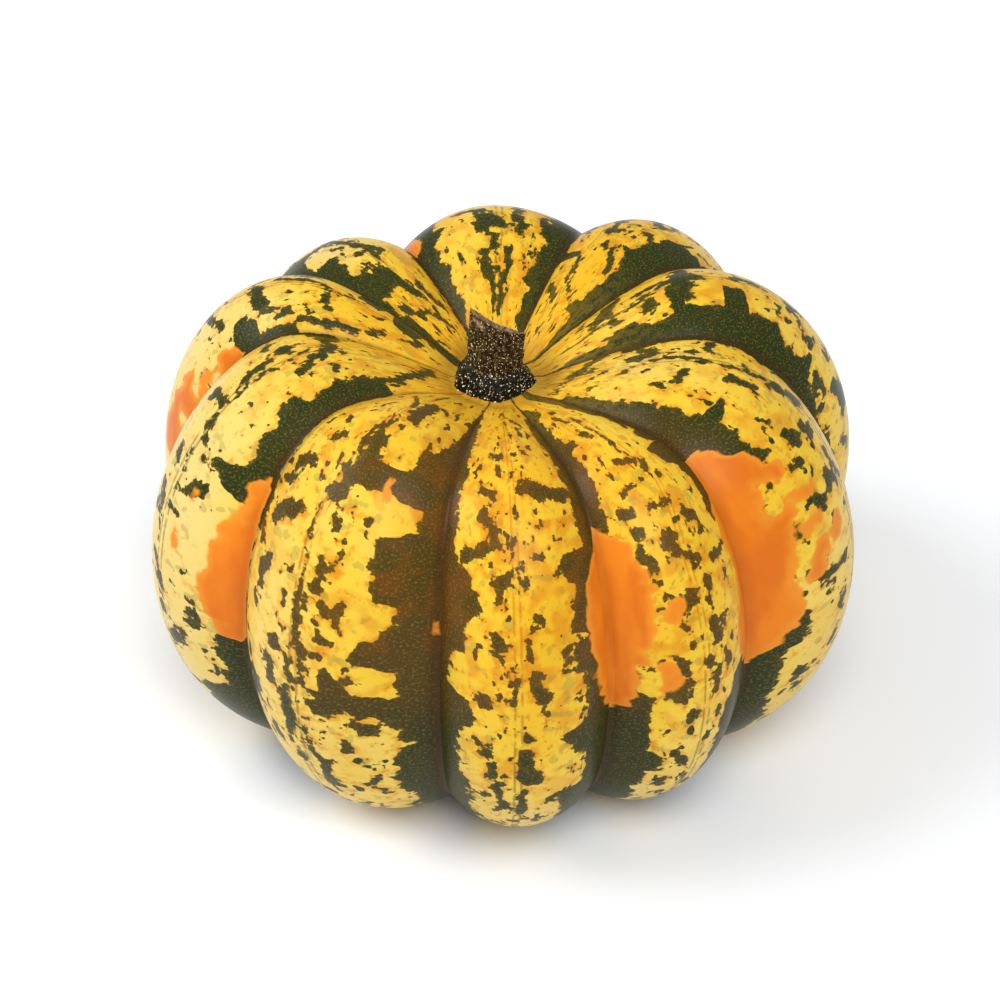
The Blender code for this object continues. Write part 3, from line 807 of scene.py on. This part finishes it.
stem_turns = np.arange(STEM_COLUMNS) * math.tau / STEM_COLUMNS
turns, rises = np.meshgrid(stem_turns, np.linspace(0.0, 1.0, STEM_ROWS + 1) ** STEM_ROW_CROWDING)
turned = turns - math.radians(STEM_FRONT_RIB)
ridge = np.cos(STEM_RIBS * turned) + STEM_RIB_EDGE * np.cos(2 * STEM_RIBS * turned)
ridge /= 1 + STEM_RIB_EDGE
collar = np.clip(1 - rises / STEM_COLLAR_RISE, 0.0, 1.0) ** STEM_COLLAR_POWER
radius = (STEM_NECK_RADIUS + STEM_COLLAR_SPREAD * collar) * (1 + STEM_RIB_DEPTH * ridge)
x = radius * np.cos(turns) + STEM_BEND * rises ** 2
y = radius * np.sin(turns) * (1 - STEM_FLATNESS * rises)
top = STEM_CUT_HEIGHT + STEM_CUT_SLOPE[0] * x + STEM_CUT_SLOPE[1] * y + STEM_CUT_HOLLOW * x ** 2
side = np.stack([x, y, rises * (top + STEM_SINK) - STEM_SINK], axis=-1)
inward = np.linspace(1.0, 0.0, CUT_ROWS + 1)[1:-1, None]
end_middle = np.array([STEM_BEND, 0.0, STEM_CUT_HEIGHT + STEM_CUT_SLOPE[0] * STEM_BEND])
cut = end_middle + (side[-1][None] - end_middle) * inward[..., None]
cut[..., 2] -= CUT_DISH * (1 - inward ** 3)
stem_points = np.concatenate([side, cut]).reshape(-1, 3)
stem_points = np.concatenate([stem_points, [end_middle - (0.0, 0.0, CUT_DISH)]])


def crumple(point):
    """How far the dry skin stands out of the plain form at a point, in metres."""
    fibre = noise.noise(Vector((point[0] * 1300, point[1] * 1300, point[2] * 260)))
    wart = noise.noise(Vector(point) * 1500)
    swell = noise.noise(Vector(point) * 420)
    return 0.00022 * fibre + 0.00013 * wart + 0.00025 * swell


crumples = np.array([crumple(point) for point in stem_points])
outward = stem_points / np.maximum(np.hypot(stem_points[:, 0], stem_points[:, 1]), 1e-6)[:, None]
outward[:, 2] = 0
side_count = side.shape[0] * STEM_COLUMNS
stem_points[:side_count] += outward[:side_count] * crumples[:side_count, None]
stem_points[side_count:, 2] += crumples[side_count:]
stem_points += (LEAN[0] * SEAT_HEIGHT + STEM_SHIFT, LEAN[1] * SEAT_HEIGHT, SEAT_HEIGHT)
stem_points = np.minimum(stem_points, np.array(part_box("stem")[1]))

stem_mesh = bpy.data.meshes.new("stem")
stem_rows = side.shape[0] + cut.shape[0]
index, right = rings(stem_rows, STEM_COLUMNS)
faces = np.stack([index[:-1], right[:-1], right[1:], index[1:]], axis=-1).reshape(-1, 4).tolist()
faces += [(stem_rows * STEM_COLUMNS, a, b) for a, b in zip(index[-1].tolist(), right[-1].tolist())]
faces.append(tuple(index[0][::-1].tolist()))
stem_mesh.from_pydata(stem_points.tolist(), [], faces)
stem_mesh.shade_smooth()
row_up = np.concatenate([rises[:, 0] * STEM_UP, np.linspace(STEM_UP, 1, CUT_ROWS + 1)[1:-1]])
column_of = np.concatenate([np.tile(np.arange(STEM_COLUMNS), stem_rows), [0]])
lay_map(stem_mesh, STEM_COLUMNS, column_of, np.concatenate([np.repeat(row_up, STEM_COLUMNS), [1.0]]))

bark = Finish("dry_stem")
map_across, map_up = bark.map_place()
girth = map_across * STEM_GIRTH
height = map_up * STEM_LENGTH
end_start = STEM_LENGTH * STEM_UP
is_end = height.step(end_start - 0.25, end_start + 0.15)
is_left = (girth - 0.54 * STEM_GIRTH).size().step(6.0, 2.5)
streak = bark.noise(bark.vector(girth, height * 0.3), 1.3, 3.0)
fleck = bark.noise(bark.vector(girth, height * 0.7, 4.0), 1.7, 2.0)
glint = bark.noise(bark.vector(girth, height, 8.0), 2.6, 1.0)
blot = bark.noise(bark.vector(girth, height, 12.0), 0.45, 1.0)
# Mostly painted light and shade rather than the stem's own colour: the left side, which faces the key lamp,
# is a lighter olive, the right side a darker red-brown.
stem_colour = bark.mix(is_left, linear(40, 24, 14), linear(44, 40, 20))
stem_colour = bark.mix(height.step(6.0, 2.5), stem_colour, linear(14, 14, 9))
fibre = streak.step(0.45, 0.65) * height.step(3.0, 10.0)
stem_colour = bark.mix(fibre * 0.6, stem_colour, linear(96, 80, 38))
stem_colour = bark.mix(fleck.step(0.60, 0.68) * 0.7, stem_colour, linear(142, 122, 66))
# Painted glints: near-white dots that stand for sparkles of light on the dry skin.
stem_colour = bark.mix(glint.step(0.65, 0.685) * 0.95, stem_colour, linear(250, 242, 205))
pale = (end_start - height - 2.4).size().step(1.8, 0.6) * is_left * blot.step(0.40, 0.55)
stem_colour = bark.mix(pale * 0.8, stem_colour, linear(176, 146, 124))
rim = (height - end_start).size().step(0.7, 0.2) * is_left
end_colour = bark.mix(streak.step(0.40, 0.60), linear(150, 130, 116), linear(104, 70, 38))
stem_colour = bark.mix(is_end, stem_colour, end_colour)
stem_colour = bark.mix(rim * 0.8, stem_colour, linear(158, 110, 56))
relief = fleck * 0.6 + glint * 0.4
bark.set(bark.shader, {"Base Color": stem_colour, "Roughness": 0.5, "Specular IOR Level": 0.15,
                       "Normal": bark.bump(relief, 0.0006, 0.6)})
stem_mesh.materials.append(bark.material)
stem_piece = bpy.data.objects.new("stem", stem_mesh)
bpy.context.scene.collection.objects.link(stem_piece)
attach(stem_piece, "root")
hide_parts("stem")
